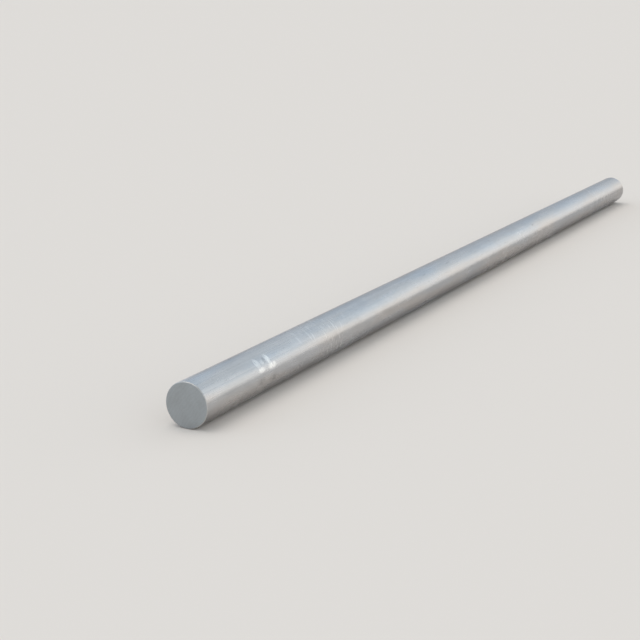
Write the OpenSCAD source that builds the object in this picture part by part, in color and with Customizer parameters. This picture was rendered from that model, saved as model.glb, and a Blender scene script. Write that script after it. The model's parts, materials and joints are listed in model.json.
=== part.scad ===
// Extruded round bar in aluminium, sawn square to a stock length at both ends.
// It lies along X on a level floor. The origin is on the line where it touches
// the floor, halfway along. The two ends are alike.

/* [Bar] */
// Outside diameter of the bar
bar_d = 95; // [20:1:300]
// Length between the two sawn faces
bar_l = 3000; // [500:10:6000]

/* [Sawn ends] */
// Width of the edge filed off round each sawn face, at 45 degrees
edge_break = 1.5; // [0.2:0.1:4]

/* [Hidden] */
$fn = 120;
bar_r = bar_d / 2;
face_r = bar_r - edge_break;

// Half of the bar's lengthwise section, from its axis out to its surface.
function half_section() = [
    [0, 0],
    [face_r, 0],
    [bar_r, edge_break],
    [bar_r, bar_l - edge_break],
    [face_r, bar_l],
    [0, bar_l]
];

// The bar upright on one of its ends.
module bar_on_end() {
    rotate_extrude()
        polygon(half_section());
}

// The bar as it lies, centred on the origin and touching the floor.
module round_bar() {
    color([0.70, 0.72, 0.74])
        translate([-bar_l / 2, 0, bar_r])
            rotate([0, 90, 0])
                bar_on_end();
}

round_bar();
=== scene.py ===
import json
import math
import random

import bpy
import numpy as np
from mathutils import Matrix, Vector


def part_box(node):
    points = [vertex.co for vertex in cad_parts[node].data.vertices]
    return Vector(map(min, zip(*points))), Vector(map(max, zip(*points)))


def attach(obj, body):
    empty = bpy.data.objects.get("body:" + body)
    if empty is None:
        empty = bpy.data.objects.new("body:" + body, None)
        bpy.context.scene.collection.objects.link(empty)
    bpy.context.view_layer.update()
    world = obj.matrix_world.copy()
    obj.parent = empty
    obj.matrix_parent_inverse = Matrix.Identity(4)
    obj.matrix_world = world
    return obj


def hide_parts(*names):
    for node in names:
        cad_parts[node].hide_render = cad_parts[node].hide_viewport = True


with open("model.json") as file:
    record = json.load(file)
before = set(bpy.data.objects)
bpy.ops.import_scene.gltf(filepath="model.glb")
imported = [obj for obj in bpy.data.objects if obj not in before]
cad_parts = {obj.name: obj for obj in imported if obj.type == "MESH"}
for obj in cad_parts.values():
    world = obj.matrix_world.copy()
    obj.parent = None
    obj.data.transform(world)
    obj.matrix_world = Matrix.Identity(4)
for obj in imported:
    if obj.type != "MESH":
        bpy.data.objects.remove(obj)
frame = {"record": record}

# Aluminium round bar: one piece of mill-finish stock, sawn at both ends. It lies along X with
# its underside on the floor, and its near end is the one towards -X.

random.seed(41)
MM = 0.001
TURN = 2 * math.pi

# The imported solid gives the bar's length, and its record the exact radius and plain length.
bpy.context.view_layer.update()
bar_low, bar_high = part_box("round_bar")
mounts = {mount["name"]: mount for mount in frame["record"]["mounts"]}
outside = mounts["bar_outside"]
BAR_R = outside["dims"]["r_mm"] * MM
HALF_L = (bar_high.x - bar_low.x) / 2
EDGE_BREAK = HALF_L - outside["dims"]["length_mm"] * MM / 2
AXIS_Z = outside["pos_m"][2]

# The photograph's camera, solved in the bar's own frame
CAMERA_AT = (-3.557, -1.348, 0.846)
CAMERA_AIM = (-0.941, 0.0, 0.089)
FOCAL_PX = 1340.0
IMAGE_PX = 640.0
SENSOR_MM = 36.0
FARTHEST_SEEN = 500.0


# The bar's shape

# How finely the surface is divided round the bar
SEGMENTS = 200
ANGLES = np.linspace(0, TURN, SEGMENTS, endpoint=False)
# Where the rings along the bar lie: their step, the least step that is kept, the extra ones near
# each end, and those over a dent, as multiples of its reach
RING_STEP = 14 * MM
LEAST_STEP = 0.2 * MM
STEPS_FROM_END = np.array((0.3, 0.8, 1.6, 3.0, 5.0, 8.0)) * MM
STEPS_OVER_DENT = np.linspace(-2.2, 2.2, 13)
# The rings of a sawn face, as shares of its radius, and of a filed edge, as shares of its width
FACE_SHARES = [*np.linspace(0.02, 0.985, 34), 0.993, 1.0]
EDGE_SHARES = (0.12, 0.5, 0.88)

# The ridges that the die leaves along the bar: how many waves, and each one's turns round the
# bar, height in millimetres, and drift round it in radians a metre
RIDGE_COUNT = 9
RIDGE_TURNS = (9, 38)
RIDGE_HEIGHT = (0.004, 0.012)
RIDGE_DRIFT = (-0.5, 0.5)

# The shallow dents from handling: how many, and each one's place as a share of half the length,
# reach along the bar, reach round it and depth in millimetres
DENT_COUNT = 8
DENT_PLACE = (-0.94, 0.94)
DENT_ALONG = (3.0, 7.0)
DENT_ACROSS = (1.5, 4.0)
DENT_DEPTH = (0.10, 0.28)

# Where the saw's centre was, across and up from the bar's axis, and the broad and fine waves
# that the blade left: pitch, height and bend. They fade out towards the rim.
SAW_CENTRE = (-0.21, -0.16)
BROAD_PITCH, BROAD_HEIGHT, BROAD_BEND = 11 * MM, 0.024 * MM, 9
FINE_PITCH, FINE_HEIGHT, FINE_BEND = 3.6 * MM, 0.009 * MM, 2
WAVE_FADE = 25

# How uneven the filed edge is: waves round the bar, and share of the edge's width
EDGE_SLOW_WAVES, EDGE_SLOW_SHARE = 5, 0.10
EDGE_QUICK_WAVES, EDGE_QUICK_SHARE = 13, 0.06


def ridge_waves():
    """Whole waves round the bar, which add up to its ridges: turns, height, start and drift."""
    waves = []
    for _ in range(RIDGE_COUNT):
        turns = random.randint(*RIDGE_TURNS)
        height = random.uniform(*RIDGE_HEIGHT) * MM
        phase = random.uniform(0, TURN)
        drift = random.uniform(*RIDGE_DRIFT)
        waves.append((turns, height, phase, drift))
    return waves


def dents():
    """The dents: place along the bar, angle, reach along it, reach round it and depth."""
    made = []
    for _ in range(DENT_COUNT):
        place = random.uniform(*DENT_PLACE) * HALF_L
        angle = random.uniform(0, TURN)
        along = random.uniform(*DENT_ALONG) * MM
        across = random.uniform(*DENT_ACROSS) * MM
        depth = random.uniform(*DENT_DEPTH) * MM
        made.append((place, angle, along, across, depth))
    return made


RIDGES = ridge_waves()
DENTS = dents()


def ring_places():
    """Where the rings lie along the bar: evenly, closer near the ends and at each dent."""
    inner = HALF_L - EDGE_BREAK
    places = [*np.arange(-inner, inner, RING_STEP), inner]
    places += [*(-inner + STEPS_FROM_END), *(inner - STEPS_FROM_END)]
    for place, _, along, _, _ in DENTS:
        places += list(place + STEPS_OVER_DENT * along)
    places = sorted(p for p in places if abs(p) <= inner)
    kept = [places[0]]
    for place in places[1:]:
        if place - kept[-1] > LEAST_STEP:
            kept.append(place)
    return kept


def inward(x):
    """How far each point of the ring at x lies below the true cylinder."""
    depth = np.zeros(SEGMENTS)
    for turns, height, phase, drift in RIDGES:
        depth += height * (1 + np.cos(turns * ANGLES + phase + drift * x))
    for place, angle, along, across, deep in DENTS:
        round_by = np.angle(np.exp(1j * (ANGLES - angle))) * BAR_R
        depth += deep * np.exp(-((x - place) / along) ** 2 - (round_by / across) ** 2)
    return depth


def ring(x, radius):
    """One ring of points round the bar's axis; x and radius are one number or one a point."""
    y = radius * np.cos(ANGLES)
    z = AXIS_Z + radius * np.sin(ANGLES)
    return np.stack([np.broadcast_to(x, ANGLES.shape), y, z], axis=1)


def sawn_depth(y, z):
    """How far a sawn face lies behind its plane at y and z from the bar's axis."""
    from_saw = np.hypot(y - SAW_CENTRE[0], z - SAW_CENTRE[1])
    broad = 1 + np.cos(TURN * from_saw / BROAD_PITCH + BROAD_BEND * y / BAR_R)
    fine = 1 + np.cos(TURN * from_saw / FINE_PITCH + FINE_BEND * z / BAR_R)
    return BROAD_HEIGHT * broad + FINE_HEIGHT * fine


def end_rings(side):
    """Rings from a sawn face's middle out to its rim, then over the broken edge."""
    rings = []
    face_r = BAR_R - EDGE_BREAK
    for share in FACE_SHARES:
        flat = ring(0.0, face_r * share)
        fade = min(1.0, (1 - share) * WAVE_FADE)
        flat[:, 0] = side * (HALF_L - sawn_depth(flat[:, 1], flat[:, 2] - AXIS_Z) * fade)
        rings.append(flat)
    uneven = EDGE_SLOW_SHARE * np.cos(EDGE_SLOW_WAVES * ANGLES + side)
    uneven += EDGE_QUICK_SHARE * np.cos(EDGE_QUICK_WAVES * ANGLES)
    for share in EDGE_SHARES:
        out = EDGE_BREAK * (share + 2 * uneven * share * (1 - share))
        rings.append(ring(side * (HALF_L - out), face_r + out))
    return rings


# The bar's materials, by their place in the mesh
MILL, SAWN, FILED = 0, 1, 2


def kind_of_strip(from_end):
    """The material of a strip of faces, by how many strips lie between it and the nearer end."""
    sawn_strips = len(FACE_SHARES) - 1
    filed_strips = len(EDGE_SHARES) + 1
    if from_end < sawn_strips:
        return SAWN
    if from_end < sawn_strips + filed_strips:
        return FILED
    return MILL


def bar_mesh():
    """The whole bar as one closed mesh, with the material of each face."""
    rings = end_rings(-1)
    rings += [ring(x, BAR_R - inward(x)) for x in ring_places()]
    rings += reversed(end_rings(1))
    points = np.concatenate(rings).tolist()
    faces = []
    kinds = []
    strips = len(rings) - 1
    for k in range(strips):
        kind = kind_of_strip(min(k, strips - 1 - k))
        a, b = k * SEGMENTS, (k + 1) * SEGMENTS
        for s in range(SEGMENTS):
            t = (s + 1) % SEGMENTS
            faces.append((a + s, a + t, b + t, b + s))
            kinds.append(kind)
    for side, first in ((-1, 0), (1, strips * SEGMENTS)):
        middle = len(points)
        points.append([side * (HALF_L - sawn_depth(0.0, 0.0)), 0.0, AXIS_Z])
        for s in range(SEGMENTS):
            pair = [first + s, first + (s + 1) % SEGMENTS]
            faces.append((*pair[::side], middle))
            kinds.append(SAWN)
    mesh = bpy.data.meshes.new("bar_surface")
    mesh.from_pydata(points, [], faces)
    mesh.polygons.foreach_set("material_index", kinds)
    mesh.polygons.foreach_set("use_smooth", [True] * len(faces))
    mesh.update()
    return mesh


# Short ways to write a material's nodes

def feed(tree, socket, value):
    """Link value to the socket if it is a node's output, or else set the socket to it."""
    if isinstance(value, bpy.types.NodeSocket):
        tree.links.new(value, socket)
    else:
        socket.default_value = value


def node(tree, kind, settings=None, **inputs):
    """A new node. Its inputs are given by name, each a value or another node's output."""
    made = tree.nodes.new("ShaderNode" + kind)
    for name, value in (settings or {}).items():
        setattr(made, name, value)
    for name, value in inputs.items():
        feed(tree, made.inputs[name.replace("_", " ")], value)
    return made


def operation_node(tree, kind, operation, values):
    """A Math or VectorMath node, with its inputs in order."""
    made = node(tree, kind, {"operation": operation})
    for socket, value in zip(made.inputs, values):
        feed(tree, socket, value)
    return made


def calc(tree, operation, *values):
    """What the operation makes of numbers."""
    return operation_node(tree, "Math", operation, values).outputs["Value"]


def vector(tree, operation, *values):
    """What the operation makes of vectors."""
    return operation_node(tree, "VectorMath", operation, values).outputs["Vector"]


def length_of(tree, value):
    """A vector's length."""
    return operation_node(tree, "VectorMath", "LENGTH", [value]).outputs["Value"]


def fitted(tree, value, low, high, to_low=0.0, to_high=1.0):
    """value eased from between low and high to between to_low and to_high."""
    made = node(tree, "MapRange", {"interpolation_type": "SMOOTHSTEP"}, Value=value,
                From_Min=low, From_Max=high, To_Min=to_low, To_Max=to_high)
    return made.outputs["Result"]


# A noise's middle, in each of its three parts, and the values between which nearly all of it lies
NOISE_MIDDLE = (0.5, 0.5, 0.5)
NOISE_RANGE = (0.28, 0.72)


def noises(tree, where, table):
    """Soft noises from about -1 to 1, by name. The tables are given with each material."""
    made = {}
    for name, (along, across, detail, rough) in table.items():
        stretched = node(tree, "Mapping", Vector=where, Scale=(along, across, across)).outputs[0]
        noise = node(tree, "TexNoise", Vector=stretched, Scale=1.0, Detail=detail, Roughness=rough)
        made[name] = fitted(tree, noise.outputs[0], *NOISE_RANGE, -1.0, 1.0)
    return made


def summed(tree, start, values, amounts):
    """start plus each named value times its amount."""
    total = start
    for name, amount in amounts.items():
        total = calc(tree, "MULTIPLY_ADD", values[name], amount, total)
    return total


# A Mix node's sockets for colours: the share, the two colours and the mixed one
MIX_SHARE, MIX_FIRST, MIX_SECOND, MIX_RESULT = 0, 6, 7, 2


def mixed(tree, share, first, second):
    """The colour that goes from first to second as share goes from 0 to 1."""
    made = node(tree, "Mix", {"data_type": "RGBA"})
    for k, value in ((MIX_SHARE, share), (MIX_FIRST, first), (MIX_SECOND, second)):
        feed(tree, made.inputs[k], value)
    return made.outputs[MIX_RESULT]


def toned(tree, colour, amount):
    """colour times amount"""
    made = node(tree, "VectorMath", {"operation": "SCALE"})
    feed(tree, made.inputs[0], colour)
    feed(tree, made.inputs["Scale"], amount)
    return made.outputs[0]


def new_material(name, metallic):
    """A material, its nodes and its shader."""
    material = bpy.data.materials.new(name)
    material.use_nodes = True
    tree = material.node_tree
    shader = tree.nodes["Principled BSDF"]
    shader.inputs["Metallic"].default_value = metallic
    return material, tree, shader


def own_place(tree):
    """The bar's own coordinates."""
    return node(tree, "TexCoord").outputs["Object"]


def set_finish(tree, shader, values, colour, roughness, relief):
    """Gives the shader its colour, roughness and relief. Roughness comes as a plain number and
    how much each value adds to it, and relief as a height and how many of it each value adds."""
    tree.links.new(colour, shader.inputs["Base Color"])
    plain, amounts = roughness
    tree.links.new(summed(tree, plain, values, amounts), shader.inputs["Roughness"])
    unit, amounts = relief
    bump = node(tree, "Bump", Height=summed(tree, 0.0, values, amounts), Distance=unit)
    tree.links.new(bump.outputs[0], shader.inputs["Normal"])


# The mill finish along the side

# How often each noise changes in a metre along the bar and across it, its detail and its roughness
SIDE_NOISES = {
    "clouds": (5, 16, 5.0, 0.6),
    "blotches": (22, 60, 4.0, 0.6),
    "bands": (0.5, 110, 2.0, 0.5),
    "lines": (1.2, 520, 3.0, 0.7),
    "tint": (3.1, 23, 3.0, 0.5),
    "breaks": (420, 90, 2.0, 0.5),
    "dashes": (330, 42, 2.0, 0.5),
    "light rub areas": (2.6, 9, 2.0, 0.5),
    "specks": (90, 210, 2.0, 0.5),
}
# How much each noise changes the side's tone, its roughness and its height
SIDE_TONE = {"clouds": 0.05, "blotches": 0.035, "bands": 0.03, "lines": 0.035}
SIDE_ROUGHNESS = (0.25, {"clouds": 0.035, "blotches": 0.02, "lines": 0.015, "rubs_and_highlights": 0.16})
SIDE_RELIEF = (MM, {"lines": 0.008, "rubs_and_highlights": 0.012, "blotches": 0.03})

# The values of a noise between which its effect goes from none to all
TINT_RANGE = (-0.9, 0.9)
BREAKS_RANGE = (-0.7, 0.5)
DASHES_RANGE = (0.55, 0.95)
AREAS_RANGE = (0.35, 0.9)
SPECKS_RANGE = (0.88, 1.0)

# How much is left of a mark where it is broken up, and how strong the light rubs and specks are
BROKEN_LEAST = 0.35
LIGHT_RUBS = 0.45
SPECKS = 0.24

COOL_METAL = (0.505, 0.519, 0.541, 1)
WARM_METAL = (0.538, 0.522, 0.513, 1)
# Near-white: the colour of the rubs, and of the painted highlight spots on the bright band
RUB_AND_HIGHLIGHT_METAL = (0.92, 0.92, 0.91, 1)
# Dark: the colour of smut and specks, and of the painted shade under two rub marks
SMUT_AND_SHADE = (0.30, 0.30, 0.30, 1)
# How much duller the oxide makes the side where it is seen at a glancing angle
EDGE_TINT = (0.70, 0.70, 0.71, 1)

# Rub marks and painted highlight: the first three are rub marks, and the last two are rubs that
# also paint white highlight spots on the bright band. Each gives place along the bar from its near
# end, degrees above level on the side of -Y, length round the bar, width along it, slant in
# degrees, strength
RUB_AND_HIGHLIGHT_MARKS = [
    (212, 46, 26, 19, 8, 0.55),
    (230, 42, 15, 11, 8, 0.30),
    (254, 45, 27, 16, 8, 0.85),
    # The next two are painted highlight: white spots on the bright band, given as rubs
    (217, 24, 13, 30, 3, 0.85),
    (261, 24, 15, 36, 3, 0.95),
]
# Smut marks and painted shade, given alike: the two just under level paint shade under the rub
# marks, and the rest are smut
SMUT_AND_SHADE_MARKS = [
    (241, 45, 16, 12, 8, 0.55),
    # The next two are painted shade under the rub marks, given as smut
    (210, -3, 17, 34, 2, 0.55),
    (259, -7, 19, 44, 2, 0.6),
    (1962, 47, 5, 22, 8, 0.8),
    (1105, 60, 4, 30, 5, 0.5),
    (1270, 62, 5, 40, 5, 0.5),
]
# The bar's top, in degrees above level
TOP = 90
# A mark fades from nothing to all of its strength between these shares of its reach.
MARK_FADE = (1.15, 0.45)
# How often in a metre the edges of the marks waver, how finely, and how far
WAVER_SCALE = 260.0
WAVER_DETAIL = 3.0
WAVER_REACH = 5 * MM


def marks(tree, flat, given):
    """The strength of the given marks inside them, and 0 away from them. flat has place along
    the bar and arc length from its top."""
    total = 0.0
    for place, above, round_mm, along_mm, slant, strength in given:
        centre = (-HALF_L + place * MM, -math.radians(TOP - above) * BAR_R, 0)
        reach = (along_mm / 2 * MM, round_mm / 2 * MM, 1)
        turned = (0, 0, math.radians(slant))
        local = node(tree, "Mapping", {"vector_type": "TEXTURE"}, Vector=flat, Location=centre,
                     Rotation=turned, Scale=reach)
        inside = fitted(tree, length_of(tree, local.outputs[0]), *MARK_FADE, 0.0, strength)
        total = calc(tree, "MAXIMUM", total, inside)
    return total


def unrolled(tree, where):
    """Place along the bar and arc length round it from its top, as a flat pair."""
    parts = node(tree, "SeparateXYZ", Vector=where)
    up = calc(tree, "SUBTRACT", parts.outputs["Z"], AXIS_Z)
    angle = calc(tree, "ARCTAN2", parts.outputs["Y"], up)
    arc = calc(tree, "MULTIPLY", angle, BAR_R)
    return node(tree, "CombineXYZ", X=parts.outputs["X"], Y=arc).outputs[0]


def wavering(tree, flat, where):
    """flat moved about by a millimetre or two, so that marks have ragged edges."""
    noise = node(tree, "TexNoise", Vector=where, Scale=WAVER_SCALE, Detail=WAVER_DETAIL)
    off = vector(tree, "SUBTRACT", noise.outputs["Color"], NOISE_MIDDLE)
    return vector(tree, "MULTIPLY_ADD", off, (WAVER_REACH, WAVER_REACH, 0), flat)


def mill_side():
    """Mill finish: die lines along the bar, cloudy oxide, rub marks and a little smut, with
    painted highlight and painted shade at a few of the marks.
    """
    material, tree, shader = new_material("mill_finish", 1.0)
    where = own_place(tree)
    values = noises(tree, where, SIDE_NOISES)
    flat = wavering(tree, unrolled(tree, where), where)
    broken = fitted(tree, values["breaks"], *BREAKS_RANGE, BROKEN_LEAST, 1.0)

    # The placed rub marks, two of them painted highlight, and light rubs in dashes here and there
    dashes = fitted(tree, values["dashes"], *DASHES_RANGE)
    areas = fitted(tree, values["light rub areas"], *AREAS_RANGE)
    light_rubs = calc(tree, "MULTIPLY", calc(tree, "MULTIPLY", dashes, areas), LIGHT_RUBS)
    # The placed marks include painted highlight on the bright band.
    rubs_and_highlights = calc(tree, "MULTIPLY", marks(tree, flat, RUB_AND_HIGHLIGHT_MARKS), broken)
    values["rubs_and_highlights"] = calc(tree, "MAXIMUM", rubs_and_highlights, light_rubs)

    # The placed smut marks, two of them painted shade, and fine specks all over
    specks = calc(tree, "MULTIPLY", fitted(tree, values["specks"], *SPECKS_RANGE), SPECKS)
    # The placed marks include painted shade under the rub marks.
    smut_and_shade = calc(tree, "MULTIPLY", marks(tree, flat, SMUT_AND_SHADE_MARKS), broken)
    smut_and_shade = calc(tree, "MAXIMUM", smut_and_shade, specks)

    # The clouded metal, with the rubs and painted highlight and then the smut and painted shade
    # over it
    metal = mixed(tree, fitted(tree, values["tint"], *TINT_RANGE), COOL_METAL, WARM_METAL)
    metal = toned(tree, metal, summed(tree, 1.0, values, SIDE_TONE))
    metal = mixed(tree, values["rubs_and_highlights"], metal, RUB_AND_HIGHLIGHT_METAL)
    metal = mixed(tree, smut_and_shade, metal, SMUT_AND_SHADE)
    set_finish(tree, shader, values, metal, SIDE_ROUGHNESS, SIDE_RELIEF)
    shader.inputs["Specular Tint"].default_value = EDGE_TINT
    return material


# The sawn faces and the filed edges

SAWN_METAL = (0.372, 0.398, 0.416)
SAWN_NOISES = {
    "wander": (1, 30, 3.0, 0.5),
    "mottle": (1, 38, 5.0, 0.6),
    "grain": (1, 700, 3.0, 0.7),
}
# The arcs that the blade's teeth leave: pitch, and how far they wander
SAWN_ARCS = {"coarse": (6.5 * MM, 3.0), "fine": (1.3 * MM, 5.0)}
SAWN_TONE = {"mottle": 0.06, "coarse": 0.02, "fine": 0.025, "grain": 0.04}
SAWN_ROUGHNESS = (0.48, {"mottle": 0.05, "fine": 0.03})
SAWN_RELIEF = (0.012 * MM, {"fine": 1.0, "grain": 0.6})

FILED_METAL = (0.475, 0.475, 0.470)
FILED_NOISES = {"nicks": (160, 160, 4.0, 0.7)}
FILED_TONE = {"nicks": 0.16}
FILED_ROUGHNESS = (0.46, {"nicks": 0.08})
FILED_RELIEF = (0.05 * MM, {"nicks": 1.0})


def sawn_end():
    """A sawn face: matt, with the arcs that the blade leaves and a little mottling."""
    material, tree, shader = new_material("sawn_face", 1.0)
    where = own_place(tree)
    values = noises(tree, where, SAWN_NOISES)
    to_saw = (0, -SAW_CENTRE[0], -AXIS_Z - SAW_CENTRE[1])
    shifted = node(tree, "Mapping", Vector=where, Location=to_saw).outputs[0]
    across = vector(tree, "MULTIPLY", shifted, (0, 1, 1))
    from_saw = length_of(tree, across)
    for name, (pitch, sway) in SAWN_ARCS.items():
        even = calc(tree, "MULTIPLY", from_saw, TURN / pitch)
        bent = calc(tree, "MULTIPLY_ADD", values["wander"], sway, even)
        values[name] = calc(tree, "SINE", bent)
    metal = toned(tree, SAWN_METAL, summed(tree, 1.0, values, SAWN_TONE))
    set_finish(tree, shader, values, metal, SAWN_ROUGHNESS, SAWN_RELIEF)
    return material


def filed_edge():
    """The broken edge: filed, uneven, and a little brighter than the sawn face."""
    material, tree, shader = new_material("filed_edge", 1.0)
    values = noises(tree, own_place(tree), FILED_NOISES)
    metal = toned(tree, FILED_METAL, summed(tree, 1.0, values, FILED_TONE))
    set_finish(tree, shader, values, metal, FILED_ROUGHNESS, FILED_RELIEF)
    return material


def make_bar():
    """The bar, with its materials in the order of MILL, SAWN and FILED."""
    bar = bpy.data.objects.new("aluminium_bar", bar_mesh())
    bpy.context.scene.collection.objects.link(bar)
    for material in (mill_side(), sawn_end(), filed_edge()):
        bar.data.materials.append(material)
    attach(bar, "root")
    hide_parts("round_bar")


# The studio

FLOOR_REACH = 120.0
FLOOR_COLOUR = (0.706, 0.661, 0.621, 1)
FLOOR_ROUGHNESS = 0.9

# The wide soft lamp: where it shines from, its strength, its spread in degrees and its colour
KEY_FROM = (0.05, 0.30, 1.0)
KEY_STRENGTH = 0.92
KEY_SPREAD = 45.0
KEY_COLOUR = (1.0, 0.98, 0.95)

# The room's light by height, as the sine of the angle above the horizon. The side of -Y has a
# bright band low down, and the side of +Y is even. At the horizon it is as light as the floor.
HORIZON = (0.724, 0.709, 0.681)
HIGH_UP = [
    (0.62, (0.82, 0.94, 1.04)),
    (0.80, (0.64, 0.64, 0.63)),
    (1.00, (0.62, 0.61, 0.60)),
]
BRIGHT_SIDE = [
    (-0.20, HORIZON),
    (0.02, HORIZON),
    (0.06, (1.20, 1.15, 1.08)),
    (0.26, (1.20, 1.20, 1.17)),
    (0.40, (0.89, 0.98, 1.04)),
    (0.50, (0.82, 0.94, 1.05)),
    *HIGH_UP,
]
EVEN_SIDE = [
    (-0.20, HORIZON),
    (0.01, HORIZON),
    (0.14, (0.66, 0.71, 0.77)),
    (0.30, (0.77, 0.88, 0.99)),
    (0.52, (0.83, 0.95, 1.06)),
    *HIGH_UP,
]
# The Y between which the bright side goes over into the even one, the lowest height that the
# ramps take in, and the highest number in their colours
SIDES_MEET = (-0.35, 0.25)
LOWEST = -0.2
RAMP_TOP = 1.2

# How much brighter the band gets towards +X, and the X and the Z between which it does
BAND_GLOW = 0.42
BAND_FORWARD = (0.80, 0.99)
BAND_ABOVE = (0.0, 0.08)

# Two panels low down on the side of +Y: how much brighter than the room they are, the X on either
# side, the Y and the Z between which they begin, and the Z between which they end
PANEL_GLOW = 1.1
PANEL_ASIDE = (0.30, 0.50)
PANEL_BEHIND = (0.56, 0.68)
PANEL_ABOVE = (0.02, 0.10)
PANEL_BELOW = (0.24, 0.40)


def light_by_height(tree, height, stops):
    """A colour ramp over height. Its colours are kept under 1 and scaled back up after it."""
    ramp = node(tree, "ValToRGB", Fac=height)
    elements = ramp.color_ramp.elements
    elements.remove(elements[-1])
    for k, (sine, colour) in enumerate(stops):
        place = (sine - LOWEST) / (1 - LOWEST)
        element = elements[0] if k == 0 else elements.new(place)
        element.position = place
        element.color = (*[part / RAMP_TOP for part in colour], 1)
    return ramp.outputs[0]


def band_share(tree, x, z):
    """1 where the bright band is at its brightest, and 0 away from there."""
    forward = fitted(tree, x, *BAND_FORWARD)
    above = fitted(tree, z, *BAND_ABOVE)
    return calc(tree, "MULTIPLY", forward, above)


def panel_share(tree, x, y, z):
    """1 in the two panels and 0 elsewhere."""
    aside = fitted(tree, calc(tree, "ABSOLUTE", x), *PANEL_ASIDE)
    behind = fitted(tree, y, *PANEL_BEHIND)
    above = fitted(tree, z, *PANEL_ABOVE)
    below = fitted(tree, z, *PANEL_BELOW, 1.0, 0.0)
    across = calc(tree, "MULTIPLY", aside, behind)
    return calc(tree, "MULTIPLY", across, calc(tree, "MULTIPLY", above, below))


def brighter(tree, colour, share, amount):
    """colour made brighter by amount where share is 1"""
    return toned(tree, colour, calc(tree, "MULTIPLY_ADD", share, amount, 1.0))


def make_world():
    """A soft room with a bright band above the horizon on one side and two panels on the other."""
    world = bpy.data.worlds.new("soft_room")
    bpy.context.scene.world = world
    world.use_nodes = True
    tree = world.node_tree
    direction = node(tree, "TexCoord").outputs["Generated"]
    x, y, z = node(tree, "SeparateXYZ", Vector=direction).outputs
    height = node(tree, "MapRange", Value=z, From_Min=LOWEST).outputs["Result"]
    bright_side = light_by_height(tree, height, BRIGHT_SIDE)
    bright_side = brighter(tree, bright_side, band_share(tree, x, z), BAND_GLOW)
    even_side = light_by_height(tree, height, EVEN_SIDE)
    even_side = brighter(tree, even_side, panel_share(tree, x, y, z), PANEL_GLOW)
    room = mixed(tree, fitted(tree, y, *SIDES_MEET), bright_side, even_side)
    background = tree.nodes["Background"]
    tree.links.new(room, background.inputs["Color"])
    background.inputs["Strength"].default_value = RAMP_TOP


def make_floor():
    """The plain pale floor on which the bar lies."""
    reach = FLOOR_REACH
    corners = [(-reach, -reach, 0), (reach, -reach, 0), (reach, reach, 0), (-reach, reach, 0)]
    mesh = bpy.data.meshes.new("floor")
    mesh.from_pydata(corners, [], [(0, 1, 2, 3)])
    floor = bpy.data.objects.new("floor", mesh)
    bpy.context.scene.collection.objects.link(floor)
    material, _, shader = new_material("pale_floor", 0.0)
    shader.inputs["Base Color"].default_value = FLOOR_COLOUR
    shader.inputs["Roughness"].default_value = FLOOR_ROUGHNESS
    shader.inputs["Specular IOR Level"].default_value = 0.0
    mesh.materials.append(material)


def aimed(direction):
    """The rotation that turns a lamp or camera to look in a direction, with its top up."""
    return direction.to_track_quat("-Z", "Y").to_euler()


def make_key_light():
    """The wide soft lamp, the same all over the scene."""
    data = bpy.data.lights.new("soft_key", "SUN")
    data.energy = KEY_STRENGTH
    data.angle = math.radians(KEY_SPREAD)
    data.color = KEY_COLOUR
    lamp = bpy.data.objects.new("soft_key", data)
    bpy.context.scene.collection.objects.link(lamp)
    lamp.rotation_euler = aimed(-Vector(KEY_FROM))


def make_camera():
    """The camera, placed and framed as the photograph's."""
    data = bpy.data.cameras.new("photo_camera")
    data.sensor_width = SENSOR_MM
    data.lens = SENSOR_MM * FOCAL_PX / IMAGE_PX
    data.clip_end = FARTHEST_SEEN
    camera = bpy.data.objects.new("photo_camera", data)
    bpy.context.scene.collection.objects.link(camera)
    camera.location = CAMERA_AT
    camera.rotation_euler = aimed(Vector(CAMERA_AIM) - Vector(CAMERA_AT))
    bpy.context.scene.camera = camera


make_bar()
make_floor()
make_world()
make_key_light()
make_camera()

bpy.context.scene.view_settings.view_transform = "Standard"
